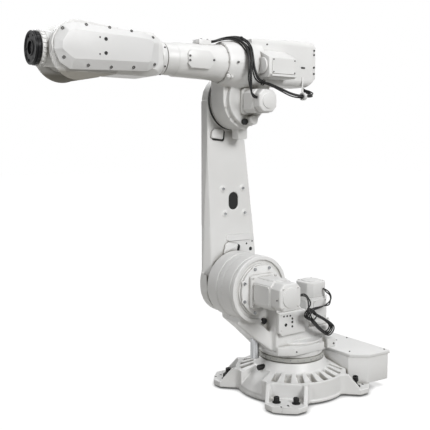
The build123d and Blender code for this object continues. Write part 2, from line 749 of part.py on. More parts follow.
def collar():
    shape = turned_roll([(ELBOW_X + COLLAR_REAR, 0), (COLLAR_FRONT_X, 0), (COLLAR_FRONT_X, COLLAR_R0),
                         (COLLAR_FRONT_X - COLLAR_LIP, COLLAR_R1), (ELBOW_X + COLLAR_MID, COLLAR_R2),
                         (ELBOW_X + COLLAR_REAR, COLLAR_R2)])
    # flat on the side of the lower arm
    return shape & block(ELBOW_X + COLLAR_REAR, COLLAR_FRONT_X, UPRIGHT_FAR_Y, COLLAR_R2,
                         ROLL_Z - COLLAR_R2, ROLL_Z + COLLAR_R2)


def house_side():
    # Side view of the motor house with its plate: the top rises to the rear, the low rear corner is cut.
    rear = HOUSE_REAR_X - REAR_PLATE_T
    front = ELBOW_X + HOUSE_FRONT
    return side_prism([(front, ROLL_Z - HOUSE_LOW), (rear + HOUSE_CUT, ROLL_Z - HOUSE_LOW),
                       (rear, ROLL_Z - HOUSE_LOW + HOUSE_CUT), (rear, ROLL_Z + HOUSE_TOP_REAR - HOUSE_CUT / 2),
                       (rear + HOUSE_CUT / 2, ROLL_Z + HOUSE_TOP_REAR), (front, ROLL_Z + HOUSE_TOP_FRONT)],
                      HOUSE_FAR_Y, HOUSE_NEAR_Y)


def house_bar(x0, x1, inset):
    y0, y1 = HOUSE_FAR_Y + inset, HOUSE_NEAR_Y - inset
    z0, z1 = ROLL_Z - HOUSE_LOW + inset, ROLL_Z + HOUSE_TOP_REAR - inset
    return front_prism([(y0, z0), (y1, z0), (y1, z1), (y0, z1)], x0, x1, HOUSE_CORNER)


def elbow_casting():
    leg = rod_y(ELBOW_X, UPRIGHT_FAR_Y, LEG_NEAR_Y, ELBOW_Z, LEG_R)
    leg += rod_y(ELBOW_X, LEG_NEAR_Y, ADAPTER_Y, ELBOW_Z, ADAPTER_R)
    facet = block(LEG_FACET, 2 * LEG_R, LEG_FACET_FAR_Y, ADAPTER_Y + PAST, -2 * LEG_R, 2 * LEG_R)
    leg -= Pos(ELBOW_X, 0, ELBOW_Z) * Rot(0, LEG_FACET_TURN, 0) * facet
    leg += block(ELBOW_X - LEG_R, ELBOW_X + LEG_R, UPRIGHT_FAR_Y, LEG_NEAR_Y, ELBOW_Z, ROLL_Z)
    lug = [(ELBOW_X + LEG_LUG_X0, ELBOW_Z - LEG_LUG_DROP), (ELBOW_X + LEG_LUG_X1, ELBOW_Z - LEG_LUG_DROP),
           (ELBOW_X + LEG_LUG_X1, ELBOW_Z), (ELBOW_X + LEG_LUG_X0, ELBOW_Z)]
    leg += side_prism(lug, UPRIGHT_FAR_Y, LEG_LUG_NEAR_Y, LEG_LUG_CORNER)
    leg += rod_y(ELBOW_X + LEG_BOSS_X, ADAPTER_Y, ADAPTER_Y + LEG_BOSS_T, ELBOW_Z - LEG_BOSS_DROP, LEG_BOSS_R)
    leg += rod_y(ELBOW_X, ARM_NEAR_Y + BEARING_GAP, UPRIGHT_FAR_Y, ELBOW_Z, ELBOW_SEAT_R)
    house = house_bar(HOUSE_REAR_X, ELBOW_X + HOUSE_FRONT, 0) & house_side()
    return leg + collar() + house


def arm_tube():
    return turned_roll([(COLLAR_FRONT_X, 0), (TUBE_FRONT_X, 0), (TUBE_FRONT_X, TUBE_FRONT_R),
                        (TUBE_NECK_X + TUBE_STEP, TUBE_FRONT_R), (TUBE_NECK_X, TUBE_NECK_R),
                        (COLLAR_FRONT_X + TUBE_FLARE, TUBE_MID_R), (COLLAR_FRONT_X, TUBE_REAR_R)])


def rear_cover():
    return house_bar(HOUSE_REAR_X - REAR_PLATE_T, HOUSE_REAR_X, REAR_PLATE_STEP) & house_side()


def roll_motor():
    section = [(HOUSE_NEAR_Y, ROLL_Z - M4_LOW), (M4_NEAR_Y - M4_EDGE, ROLL_Z - M4_LOW),
               (M4_NEAR_Y, ROLL_Z - M4_PLATE_LOW), (M4_NEAR_Y, ROLL_Z + M4_PLATE_TOP),
               (HOUSE_NEAR_Y, ROLL_Z + M4_TOP)]
    return front_prism(section, ELBOW_X + M4_X0, ELBOW_X + M4_X1) - collar()


def roll_motor_cap():
    x0 = ELBOW_X + M4_X1
    return rod_x(x0, x0 + M4_DISC_T, M4_DISC_Y, ROLL_Z - M4_DISC_DROP, M4_DISC_R) - collar()


def elbow_motor():
    shape = along_y(motor_body(M3_HALF, M3_FLANGE_HALF, M3_FLANGE_T, M3_BODY), ELBOW_X, ADAPTER_Y, M3_Z)
    return shape - collar()


def elbow_motor_cap():
    return along_y(motor_cap(M3_HALF, M3_CAP), ELBOW_X, ADAPTER_Y + M3_FLANGE_T + M3_BODY, M3_Z)


def elbow_plug():
    z = ELBOW_Z - ELBOW_PLUG_DROP
    return rod_y(ELBOW_X + ELBOW_PLUG_X, ADAPTER_Y, ADAPTER_Y + PLUG_T, z, PLUG_R)


def tube_cover():
    low, top = ROLL_Z - TUBE_COVER_HALF, ROLL_Z + TUBE_COVER_HALF
    outline = [(TUBE_COVER_X0, ROLL_Z), (TUBE_COVER_X0 + TUBE_COVER_POINT, low),
               (TUBE_COVER_X1 - TUBE_COVER_CUT, low), (TUBE_COVER_X1, low + TUBE_COVER_CUT),
               (TUBE_COVER_X1, top - TUBE_COVER_CUT), (TUBE_COVER_X1 - TUBE_COVER_CUT, top),
               (TUBE_COVER_X0 + TUBE_COVER_POINT, top)]
    y = TUBE_MID_R + TUBE_COVER_RISE
    return side_prism(outline, y - TUBE_COVER_DEPTH, y) - arm_tube()


def cable_bracket():
    shape = block(ELBOW_X + BRACKET_X0, ELBOW_X + BRACKET_X1, -BRACKET_HALF, BRACKET_HALF,
                  ROLL_Z, ROLL_Z + TUBE_MID_R + BRACKET_RISE)
    x0 = ELBOW_X + CLIP_X0
    clip = block(x0, x0 + CLIP_W, HOUSE_NEAR_Y, HOUSE_NEAR_Y + CLIP_T, ROLL_Z - CLIP_LOW, ROLL_Z - CLIP_TOP)
    return [shape - arm_tube(), clip]


# Wrist
def wrist_ring():
    shape = rod_x(RING_SEAM_X, RING_SEAM_X + WRIST_RING_T, 0, ROLL_Z, WRIST_RING_R)
    return shape + rod_x(TUBE_FRONT_X + BEARING_GAP, RING_SEAM_X, 0, ROLL_Z, WRIST_STUB_R)


def wrist_section(x, width, low, top, corner):
    middle = Pos(0, ROLL_Z + (top - low) / 2)
    return front_plane(x) * middle * RectangleRounded(width, low + top, corner)


def wrist_casting():
    x0 = RING_SEAM_X + WRIST_RING_T
    half = WRIST_REAR_H / 2
    rear = wrist_section(x0, WRIST_REAR_W, half, half, WRIST_REAR_CORNER)
    middle = wrist_section(x0 + WRIST_CONE, 2 * FORK_OUT_Y, WRIST_LOW, WRIST_TOP, WRIST_CORNER)
    return loft([rear, middle]) + extrude(middle, TILT_X - WRIST_SPLIT - x0 - WRIST_CONE)


def fork_arm(side):
    split = TILT_X - WRIST_SPLIT
    z = ROLL_Z - FORK_DROP
    outline = Pos(TILT_X, z) * Circle(FORK_R)
    outline += polygon([(split, ROLL_Z - WRIST_LOW), (TILT_X, z - FORK_R), (TILT_X, z + FORK_R),
                        (split, ROLL_Z + WRIST_TOP)])
    shape = extrude(side_plane(FORK_OUT_Y) * outline, FORK_OUT_Y - FORK_IN_Y)
    shape += rod_y(TILT_X, FORK_IN_Y - GAP + BEARING_GAP, FORK_IN_Y, ROLL_Z, FORK_SEAT_R)
    return shape if side > 0 else mirror(shape, Plane.XZ)


def wrist_cover(side):
    # Low wall all round, then a wide bevel up to the flat panel. Heights are from the roll axis.
    foot = [(TILT_X + x, ROLL_Z + z) for x, z in COVER_FOOT]
    panel = [(TILT_X + x, ROLL_Z + z) for x, z in COVER_PANEL]
    wall = FORK_OUT_Y + COVER_WALL
    shape = side_prism(foot, FORK_OUT_Y, wall, COVER_FOOT_CORNER)
    shape += loft([side_plane(wall) * polygon(foot, COVER_FOOT_CORNER),
                   side_plane(FORK_OUT_Y + COVER_T) * polygon(panel, COVER_PANEL_CORNER)])
    return shape if side > 0 else mirror(shape, Plane.XZ)


# Hand
def tilt_housing():
    inner = FORK_IN_Y - GAP
    shape = rod_y(TILT_X, -inner, inner, ROLL_Z, BARREL_R)
    return shape + rod_x(TILT_X, TILT_X + NECK_LENGTH, 0, ROLL_Z, NECK_R)


def tilt_ring():
    x0 = TILT_X + NECK_LENGTH
    shape = rod_x(x0, x0 + HAND_RING_T, 0, ROLL_Z, HAND_RING_R)
    return shape + rod_x(x0 + HAND_RING_T, FLANGE_FACE_X - FLANGE_T - BEARING_GAP, 0, ROLL_Z, HAND_STUB_R)


def tool_flange():
    shape = rod_x(FLANGE_FACE_X - FLANGE_T, FLANGE_FACE_X, 0, ROLL_Z, FLANGE_R)
    shape -= rod_x(FLANGE_FACE_X - PILOT_DEPTH, FLANGE_FACE_X + PAST, 0, ROLL_Z, PILOT_R)
    for k in range(FLANGE_HOLES):
        a = math.radians(k * 360 / FLANGE_HOLES)
        y = FLANGE_PCD / 2 * math.cos(a)
        z = ROLL_Z + FLANGE_PCD / 2 * math.sin(a)
        shape -= rod_x(FLANGE_FACE_X - FLANGE_HOLE_DEPTH, FLANGE_FACE_X + PAST, y, z, FLANGE_HOLE_R)
    return shape


# Cables
def lead_hank():
    top, end, spread = Vector(*HANK_TOP), Vector(*HANK_END), Vector(*HANK_SPREAD)
    run = (end - top).normalized()
    plane = Plane(origin=top + run * (HANK_LENGTH / 2), x_dir=run, z_dir=run.cross(spread))
    loop = SlotOverall(HANK_LENGTH, HANK_W) - SlotOverall(HANK_OPEN_L, HANK_OPEN_W)
    return extrude(plane * loop, HANK_T / 2, both=True)


NODES = {
    "base_casting": base_casting,
    "floor_pads": floor_pads,
    "cable_box": cable_box,
    "cable_box_lid": cable_box_lid,
    "hub_plug": hub_plug,
    "slew_ring": slew_ring,
    "turntable_casting": turntable_casting,
    "shoulder_ring": shoulder_ring,
    "shoulder_motor": shoulder_motor,
    "shoulder_motor_cap": shoulder_motor_cap,
    "yaw_motor": yaw_motor,
    "yaw_motor_cap": yaw_motor_cap,
    "connector_box": connector_box,
    "side_cover": side_cover,
    "stop_pin": stop_pin,
    "frame_plug": frame_plug,
    "lower_arm_casting": lower_arm_casting,
    "shoulder_stop": shoulder_stop,
    "elbow_stop": elbow_stop,
    "arm_side_covers": arm_side_covers,
    "elbow_casting": elbow_casting,
    "arm_tube": arm_tube,
    "rear_cover": rear_cover,
    "roll_motor": roll_motor,
    "roll_motor_cap": roll_motor_cap,
    "elbow_motor": elbow_motor,
    "elbow_motor_cap": elbow_motor_cap,
    "elbow_plug": elbow_plug,
    "tube_cover": tube_cover,
    "cable_bracket": cable_bracket,
    "wrist_ring": wrist_ring,
    "wrist_casting": wrist_casting,
    "fork_arm_left": lambda: fork_arm(1),
    "fork_arm_right": lambda: fork_arm(-1),
    "wrist_cover_left": lambda: wrist_cover(1),
    "wrist_cover_right": lambda: wrist_cover(-1),
    "tilt_housing": tilt_housing,
    "tilt_ring": tilt_ring,
    "tool_flange": tool_flange,
    "arm_cable": lambda: cord(ARM_CABLE, (ELBOW_X, 0, ROLL_Z)),
    "roll_cable": lambda: cord(ROLL_CABLE, (ELBOW_X, 0, ROLL_Z)),
    "shoulder_lead": lambda: cord(SHOULDER_LEAD, (SHOULDER_X, 0, SHOULDER_Z)),
    "yaw_lead": lambda: cord(YAW_LEAD),
    "lead_hank": lead_hank,
}

os.makedirs("parts", exist_ok=True)
for name, make in NODES.items():
    made = make()
    pieces = made if isinstance(made, list) else [made]
    solids = [solid for piece in pieces for solid in piece.solids()]
    whole = solids[0] if len(solids) == 1 else Compound(children=solids)
    whole.label = name
    export_step(whole, "parts/" + name + ".step")
    box = whole.bounding_box()
    print(name, len(solids), [round(v) for v in (*box.min, *box.max)])
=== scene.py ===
import json
import math

import bmesh
import bpy
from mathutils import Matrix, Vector
from mathutils.bvhtree import BVHTree

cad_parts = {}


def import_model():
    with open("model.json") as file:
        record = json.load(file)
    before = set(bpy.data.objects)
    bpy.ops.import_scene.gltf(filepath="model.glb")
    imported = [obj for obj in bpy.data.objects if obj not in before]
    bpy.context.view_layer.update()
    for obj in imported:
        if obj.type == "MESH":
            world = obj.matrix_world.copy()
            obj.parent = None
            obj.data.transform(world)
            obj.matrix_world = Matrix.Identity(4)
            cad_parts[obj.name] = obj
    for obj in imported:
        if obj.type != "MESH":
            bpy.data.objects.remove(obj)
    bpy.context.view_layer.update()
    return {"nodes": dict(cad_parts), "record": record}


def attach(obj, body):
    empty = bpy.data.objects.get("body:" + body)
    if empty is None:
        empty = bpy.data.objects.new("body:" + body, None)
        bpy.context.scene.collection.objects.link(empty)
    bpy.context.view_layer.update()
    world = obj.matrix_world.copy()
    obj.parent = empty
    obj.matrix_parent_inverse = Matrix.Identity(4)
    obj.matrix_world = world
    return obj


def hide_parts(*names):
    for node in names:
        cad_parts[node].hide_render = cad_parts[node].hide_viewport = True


# Jointed arm in its studio. Points are written in millimetres, in the frame of the solids.
MM = 0.001

# Camera
CAMERA_AT = (2865.0, 3195.2, 1534.8)
CAMERA_HEADING = 234.56
CAMERA_PITCH = 5.84
CAMERA_LENS = 57.66

# Lights: place, aim, size in metres, power in watts
LIGHTS = {
    "key": ((0.0, 7.8, 5.4), (0.4, 0.0, 1.0), 3.0, 515.0),
    "top": ((0.2, 0.9, 6.4), (0.2, 0.0, 0.8), 2.6, 78.0),
    "front": ((7.5, 1.8, 3.8), (0.5, 0.0, 1.2), 2.6, 134.0),
    "back": ((-3.6, 0.4, 3.8), (0.3, 0.0, 1.2), 2.0, 10.0),
    "far": ((-0.6, -7.0, 4.6), (0.4, 0.0, 1.1), 3.0, 260.0),
}
AMBIENT = 0.13
FLOOR_PALE = (0.34, 0.33, 0.305)
FLOOR_SEEN = 0.88
FLOOR_GLOW = 1.14
# Painted shadow on the floor: glow strength where the object sits close above, and how far that reaches
FLOOR_SHADOW_GLOW = 0.12
FLOOR_REACH = 0.06
FLOOR_HALF = 30.0

# Skins: grid of the cast ones and edge of the others, in millimetres
CAST_VOXEL = 3.4
CAST_FACES = 60000
EDGE = 2.5

# Cables: strand radius and how far the strands lie from the middle of a bundle
STRAND_R = 4.2
STRAND_OUT = 9.0
STRAND_STRAY = 2.5
STRAND_TURNS = 1.2
STRAND_START = 0.3
STRAND_FLARE = 7

# Axes of the joints, directions and corners that many pieces share
AXIS_X = 362
SHOULDER_Z = 694
ELBOW_Z = 1792
WRIST_Z = 1989
AHEAD, BEHIND = (1, 0, 0), (-1, 0, 0)
LEFT, RIGHT = (0, 1, 0), (0, -1, 0)
UP = (0, 0, 1)
CORNERS = ((1, 1), (1, -1), (-1, 1), (-1, -1))

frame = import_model()
body_of_node = {}
for body_name, body_nodes in frame["record"]["behaviour"]["bodies"].items():
    for node_name in body_nodes:
        body_of_node[node_name] = body_name
slot_of_node = {part["node"]: part["material_slot"] for part in frame["record"]["subparts"]}


def mm(point):
    return Vector(point) * MM


# Materials: grain in cells per metre, lengths in metres
CLOUD_GRAIN = 5.0
WEAR_GRAIN = 60.0
PEEL_GRAIN = 520.0
PEEL_DEPTH = 0.0006
# Painted shade in corners and creases: reach of the ambient occlusion, and the tone it darkens the coat to
CORNER_REACH = 0.05
CORNER_SHADE = (0.42, 0.4, 0.36)
# Painted shade under the wrist covers: height below which the coat darkens, and the span of the fade
SHADE_BELOW = 1.888
SHADE_FADE = (-0.012, 0.008)


def new_material(name):
    mat = bpy.data.materials.new(name)
    mat.use_nodes = True
    tree = mat.node_tree
    shader = tree.nodes["Principled BSDF"]
    place = tree.nodes.new("ShaderNodeTexCoord")
    return mat, tree, shader, place.outputs["Object"]


def noise(tree, place, scale, detail=2.0, stretch=(1, 1, 1)):
    node = tree.nodes.new("ShaderNodeTexNoise")
    node.inputs["Scale"].default_value = scale
    node.inputs["Detail"].default_value = detail
    mapping = tree.nodes.new("ShaderNodeMapping")
    mapping.inputs["Scale"].default_value = stretch
    tree.links.new(place, mapping.inputs["Vector"])
    tree.links.new(mapping.outputs["Vector"], node.inputs["Vector"])
    return node.outputs["Fac"]


def spread(tree, value, low, high):
    node = tree.nodes.new("ShaderNodeMapRange")
    node.inputs["From Min"].default_value = 0.3
    node.inputs["From Max"].default_value = 0.7
    node.inputs["To Min"].default_value = low
    node.inputs["To Max"].default_value = high
    tree.links.new(value, node.inputs["Value"])
    return node.outputs["Result"]


def two_colours(tree, factor, first, second):
    node = tree.nodes.new("ShaderNodeMix")
    node.data_type = "RGBA"
    node.inputs["A"].default_value = (*first, 1)
    node.inputs["B"].default_value = (*second, 1)
    tree.links.new(factor, node.inputs["Factor"])
    return node.outputs["Result"]


def bump(tree, shader, height, strength, distance):
    node = tree.nodes.new("ShaderNodeBump")
    node.inputs["Strength"].default_value = strength
    node.inputs["Distance"].default_value = distance
    tree.links.new(height, node.inputs["Height"])
    tree.links.new(node.outputs["Normal"], shader.inputs["Normal"])


def coat_material(name, light, dark, rough, peel, shade_below=None):
    # Sprayed coat: cloudy colour, painted shade in the corners, faint orange peel and, below a height,
    # painted shade on the undersides.
    mat, tree, shader, place = new_material(name)
    cloud = two_colours(tree, spread(tree, noise(tree, place, CLOUD_GRAIN, 4.0), 0.0, 1.0), light, dark)
    # Painted shade: ambient occlusion darkens the colour in corners and creases.
    corner = tree.nodes.new("ShaderNodeAmbientOcclusion")
    corner.inputs["Distance"].default_value = CORNER_REACH
    corner.samples = 8
    unshaded = spread(tree, corner.outputs["AO"], 0.15, 1.0)
    if shade_below:
        unshaded = less_below(tree, place, unshaded, shade_below)
    corner_shade = tree.nodes.new("ShaderNodeMix")
    corner_shade.data_type = "RGBA"
    corner_shade.inputs["A"].default_value = (*(tone * share for tone, share in zip(dark, CORNER_SHADE)), 1)
    tree.links.new(cloud, corner_shade.inputs["B"])
    tree.links.new(unshaded, corner_shade.inputs["Factor"])
    tree.links.new(corner_shade.outputs["Result"], shader.inputs["Base Color"])
    wear = spread(tree, noise(tree, place, WEAR_GRAIN), rough - 0.05, rough + 0.06)
    tree.links.new(wear, shader.inputs["Roughness"])
    bump(tree, shader, noise(tree, place, PEEL_GRAIN, 3.0), peel, PEEL_DEPTH)
    return mat


def less_below(tree, place, value, height):
    # Painted shade: lowers the value towards the bottom, below the given height.
    parts = tree.nodes.new("ShaderNodeSeparateXYZ")
    tree.links.new(place, parts.inputs["Vector"])
    level = tree.nodes.new("ShaderNodeMapRange")
    level.inputs["From Min"].default_value = height + SHADE_FADE[0]
    level.inputs["From Max"].default_value = height + SHADE_FADE[1]
    tree.links.new(parts.outputs["Z"], level.inputs["Value"])
    both = tree.nodes.new("ShaderNodeMath")
    both.operation = "MULTIPLY"
    tree.links.new(value, both.inputs[0])
    tree.links.new(level.outputs["Result"], both.inputs[1])
    return both.outputs["Value"]


def dark_material(name, light, dark, rough, metallic, grain, stretch=(1, 1, 1), shine=0.5):
    mat, tree, shader, place = new_material(name)
    tone = spread(tree, noise(tree, place, grain, 4.0, stretch), 0.0, 1.0)
    tree.links.new(two_colours(tree, tone, light, dark), shader.inputs["Base Color"])
    wear = spread(tree, noise(tree, place, grain * 2, 3.0, stretch), rough - 0.08, rough + 0.08)
    tree.links.new(wear, shader.inputs["Roughness"])
    shader.inputs["Metallic"].default_value = metallic
    shader.inputs["Specular IOR Level"].default_value = shine
    bump(tree, shader, noise(tree, place, grain * 4, 3.0, stretch), 0.15, 0.0004)
    return mat


MATERIALS = {
    "white_paint": coat_material("white_paint", (0.80, 0.80, 0.795), (0.765, 0.764, 0.755), 0.38, 0.10),
    "motor_white": coat_material("motor_white", (0.78, 0.78, 0.775), (0.745, 0.744, 0.735), 0.42, 0.08),
    "cover_plastic": coat_material("cover_plastic", (0.73, 0.73, 0.73), (0.70, 0.70, 0.695), 0.34, 0.06),
    # joint_coat: painted shade below a height, on the wrist's undersides beneath its covers
    "joint_coat": coat_material("joint_coat", (0.78, 0.78, 0.77), (0.74, 0.74, 0.73), 0.4, 0.10, SHADE_BELOW),
    # ring_coat: the bare slew ring's own darker grey, deepened further as painted shade from the turntable's
    # overhang
    "ring_coat": coat_material("ring_coat", (0.50, 0.50, 0.475), (0.42, 0.42, 0.395), 0.5, 0.10),
    "black_flange": dark_material("black_flange", (0.006, 0.006, 0.007), (0.008, 0.008, 0.009),
                                  0.34, 0.0, 90.0, shine=0.16),
    "black_plastic": dark_material("black_plastic", (0.005, 0.005, 0.005), (0.010, 0.010, 0.010),
                                   0.5, 0.0, 200.0, shine=0.3),
    "black_cable": dark_material("black_cable", (0.004, 0.004, 0.004), (0.009, 0.009, 0.009),
                                 0.42, 0.0, 160.0, shine=0.35),
    "steel": dark_material("steel", (0.14, 0.145, 0.15), (0.60, 0.61, 0.62), 0.3, 1.0, 120.0, (1, 1, 0.04)),
    "screw": dark_material("screw", (0.10, 0.10, 0.10), (0.16, 0.16, 0.155), 0.42, 0.6, 240.0),
}
# Coats by piece: the slew ring darker grey with painted shade, the forks and tilt housing with painted shade
# below a height, the floor pads in the dark screw finish
COATS = {"slew_ring": "ring_coat", "floor_pads": "screw", "fork_arm_left": "joint_coat",
         "fork_arm_right": "joint_coat", "tilt_housing": "joint_coat"}


# Skins over the solids: welding distance in metres, angles in degrees
WELD = 0.00002
FLAT_ANGLE = 0.6
CAST_SHARP = 50.0
EDGED_SHARP = 40.0
BEVEL_ANGLE = 28
SOFT_ROUNDS = 60
TUCK_COLUMN = 8


def link(piece, body):
    bpy.context.scene.collection.objects.link(piece)
    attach(piece, body)


def clean_copy(node):
    mesh = frame["nodes"][node].data.copy()
    mesh.name = node + "_skin"
    work = bmesh.new()
    work.from_mesh(mesh)
    bmesh.ops.remove_doubles(work, verts=work.verts, dist=WELD)
    bmesh.ops.dissolve_limit(work, angle_limit=math.radians(FLAT_ANGLE), verts=work.verts, edges=work.edges)
    work.to_mesh(mesh)
    work.free()
    for layer in [a.name for a in mesh.attributes if a.name == "custom_normal"]:
        mesh.attributes.remove(mesh.attributes[layer])
    return mesh


def applied(mesh, name, add_modifiers):
    holder = bpy.data.objects.new(name, mesh)
    bpy.context.scene.collection.objects.link(holder)
    add_modifiers(holder)
    graph = bpy.context.evaluated_depsgraph_get()
    result = bpy.data.meshes.new_from_object(holder.evaluated_get(graph))
    bpy.data.objects.remove(holder)
    return result


def skin(node, mesh, sharp_angle):
    slot = slot_of_node[node]
    mesh.materials.clear()
    mesh.materials.append(MATERIALS[COATS.get(node, slot)])
    mesh.shade_smooth()
    mesh.set_sharp_from_angle(angle=math.radians(sharp_angle))
    piece = bpy.data.objects.new(node + "_skin", mesh)
    link(piece, body_of_node[node])
    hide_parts(node)
    return piece


def soften(mesh, name, near, rounds):
    # More rounding where near() gives a share above zero.
    shares = [near(v.co / MM) for v in mesh.vertices]

    def add(holder):
        group = holder.vertex_groups.new(name="near")
        for index, share in enumerate(shares):
            if share > 0:
                group.add([index], share, "REPLACE")
        more = holder.modifiers.new("more", "SMOOTH")
        more.factor = 0.5
        more.iterations = rounds
        more.vertex_group = "near"

    return applied(mesh, name, add)


def tuck(mesh, half, depth, height):
    # Undercut along the lower edge of the outer side.
    lowest = {}
    for v in mesh.vertices:
        column = round(v.co.x / MM / TUCK_COLUMN)
        lowest[column] = min(lowest.get(column, math.inf), v.co.z / MM)
    for v in mesh.vertices:
        rise = v.co.z / MM - lowest[round(v.co.x / MM / TUCK_COLUMN)]
        limit = (half - depth * max(0.0, 1 - rise / height)) * MM
        v.co.y = max(-limit, min(limit, v.co.y))


def flatten_front(mesh, front, above):
    for v in mesh.vertices:
        if v.co.z > above * MM:
            v.co.x = min(v.co.x, front * MM)


def trim_side_cover(mesh, corner_x, near_y, slope, low_z):
    # Slanted front end and a raised lower edge.
    work = bmesh.new()
    work.from_mesh(mesh)
    everything = work.verts[:] + work.edges[:] + work.faces[:]
    bmesh.ops.bisect_plane(work, geom=everything, plane_co=mm((corner_x, 0, 0)), plane_no=AHEAD)
    for v in work.verts:
        past = max(0.0, v.co.x / MM - corner_x)
        v.co.y = min(v.co.y, (near_y - past * slope) * MM)
        v.co.z = max(v.co.z, low_z * MM)
    work.to_mesh(mesh)
    work.free()


def round_toes(mesh, reach):
    # Feet cut to one radius about the first axis.
    for v in mesh.vertices:
        flat = math.hypot(v.co.x, v.co.y)
        if flat > reach * MM:
            v.co.x *= reach * MM / flat
            v.co.y *= reach * MM / flat


def neck_share(at):
    # The smooth front of the turntable, below the drum and clear of the hollow's plug.
    foot_z, top_z, front_x, drum_r, fade = 262, 560, 225, 205, 40
    from_drum = math.hypot(at.x - AXIS_X, at.z - SHOULDER_Z)
    inside = at.x > front_x and foot_z < at.z < top_z and from_drum > drum_r
    return min(1.0, (at.z - foot_z) / fade) if inside else 0.0


def hip_share(at):
    # The front edge of the lower arm, around its lower hub.
    return 1.0 if at.x > 470 and 600 < at.z < 1050 else 0.0


def cast_skin(node):
    def melt(holder):
        remesh = holder.modifiers.new("remesh", "REMESH")
        remesh.mode = "VOXEL"
        remesh.voxel_size = CAST_VOXEL * MM
        smooth = holder.modifiers.new("smooth", "SMOOTH")
        smooth.factor = 0.5
        smooth.iterations = 5

    def thin(holder):
        spare = holder.modifiers.new("thin", "DECIMATE")
        spare.ratio = min(1.0, CAST_FACES / len(holder.data.polygons))

    melted = applied(clean_copy(node), node, melt)
    if node == "turntable_casting":
        melted = soften(melted, node, neck_share, SOFT_ROUNDS)
    if node == "lower_arm_casting":
        flatten_front(melted, front=540, above=650)
        melted = soften(melted, node, hip_share, SOFT_ROUNDS)
    if node in ("fork_arm_left", "fork_arm_right"):
        tuck(melted, half=126, depth=28.5, height=50)
    if node == "wrist_casting":
        tuck(melted, half=126, depth=45, height=34)
    if node == "base_casting":
        round_toes(melted, reach=490)
    return skin(node, applied(melted, node, thin), CAST_SHARP)


def edged_skin(node, edge):
    mesh = clean_copy(node)
    if node == "side_cover":
        trim_side_cover(mesh, corner_x=158, near_y=210, slope=0.75, low_z=280)

    def break_edges(holder):
        bevel = holder.modifiers.new("bevel", "BEVEL")
        bevel.width = edge * MM
        bevel.segments = 2
        bevel.limit_method = "ANGLE"
        bevel.angle_limit = math.radians(BEVEL_ANGLE)

    return skin(node, applied(mesh, node, break_edges), EDGED_SHARP)


CAST_NODES = ("base_casting", "turntable_casting", "lower_arm_casting", "elbow_casting", "wrist_casting",
              "fork_arm_left", "fork_arm_right")
CORD_NODES = ("arm_cable", "roll_cable", "shoulder_lead", "yaw_lead", "lead_hank")
BUILT_NODES = ("tool_flange",)
EDGES = {"shoulder_stop": 9.0, "elbow_stop": 9.0, "rear_cover": 6.0, "shoulder_motor_cap": 5.0}
for node_name in frame["nodes"]:
    if node_name in CAST_NODES:
        cast_skin(node_name)
    elif node_name not in CORD_NODES + BUILT_NODES:
        edged_skin(node_name, EDGES.get(node_name, EDGE))


# Small forms, in millimetres, and how deep they sink into what carries them
SUNK = 2.0
PLATE_SUNK = 1.0
FORM_SHARP = 35


def lathe(work, profile, at, axis, segments=18):
    # Turned form; profile points are radius and height along the axis.
    turn = Vector(axis).to_track_quat("Z", "Y")
    rings = []
    for radius, height in profile:
        count = segments if radius > 0 else 1
        ring = []
        for k in range(count):
            a = 2 * math.pi * k / segments
            spot = Vector(at) + turn @ Vector((radius * math.cos(a), radius * math.sin(a), height))
            ring.append(work.verts.new(mm(spot)))
        rings.append(ring)
    for low, high in zip(rings, rings[1:]):
        for k in range(segments):
            n = k + 1
            corners = [low[k % len(low)], low[n % len(low)], high[n % len(high)], high[k % len(high)]]
            face = list(dict.fromkeys(corners))
            if len(face) > 2:
                work.faces.new(face)


def rounded(width, height, radius, steps=5):
    outline = []
    for sx, sy, start in ((1, 1, 0), (-1, 1, 90), (-1, -1, 180), (1, -1, 270)):
        for k in range(steps + 1):
            a = math.radians(start + 90 * k / steps)
            outline.append((sx * (width / 2 - radius) + radius * math.cos(a),
                            sy * (height / 2 - radius) + radius * math.sin(a)))
    return outline


def plate(work, outline, at, across, up, thickness, edge=1.5):
    # Raised plate with a broken edge, standing on the plane of its two directions.
    across, up = Vector(across).normalized(), Vector(up).normalized()
    out = across.cross(up)
    reach = max(math.hypot(a, b) for a, b in outline)
    rings = []
    for height, shrink in ((-PLATE_SUNK, 1.0), (thickness - edge, 1.0), (thickness, 1.0 - edge / reach)):
        ring = [Vector(at) + across * (a * shrink) + up * (b * shrink) + out * height for a, b in outline]
        rings.append([work.verts.new(mm(spot)) for spot in ring])
    for low, high in zip(rings, rings[1:]):
        for k in range(len(outline)):
            n = (k + 1) % len(outline)
            work.faces.new([low[k], low[n], high[n], high[k]])
    work.faces.new(rings[-1])


def socket_screw(work, at, axis, r):
    h = 0.9 * r
    profile = [(0, 0.35 * h), (0.5 * r, 0.35 * h), (0.55 * r, h), (0.88 * r, h), (r, 0.8 * h), (r, -SUNK)]
    lathe(work, profile, at, axis)


# A raised black disc stands in for a hole: painted shade inside it.
def dark_hole(work, at, axis, r):
    lathe(work, [(0, 0.3), (0.85 * r, 0.3), (r, 0.8), (r, -SUNK)], at, axis)


def seat(node, start, towards):
    # Where a line from start meets a solid, and the way its surface faces there.
    mesh = frame["nodes"][node].data
    tree = BVHTree.FromPolygons([v.co for v in mesh.vertices], [f.vertices[:] for f in mesh.polygons])
    spot, facing = tree.ray_cast(mm(start), Vector(towards))[:2]
    return spot / MM, facing


def circle(count, start=0.0):
    # Evenly spaced angles of a full turn.
    return [math.radians(start + 360 / count * k) for k in range(count)]


def made(name, work, body, material):
    bmesh.ops.recalc_face_normals(work, faces=work.faces)
    mesh = bpy.data.meshes.new(name)
    work.to_mesh(mesh)
    work.free()
    mesh.materials.append(MATERIALS[material])
    mesh.shade_smooth()
    mesh.set_sharp_from_angle(angle=math.radians(FORM_SHARP))
    piece = bpy.data.objects.new(name, mesh)
    link(piece, body)
    return piece


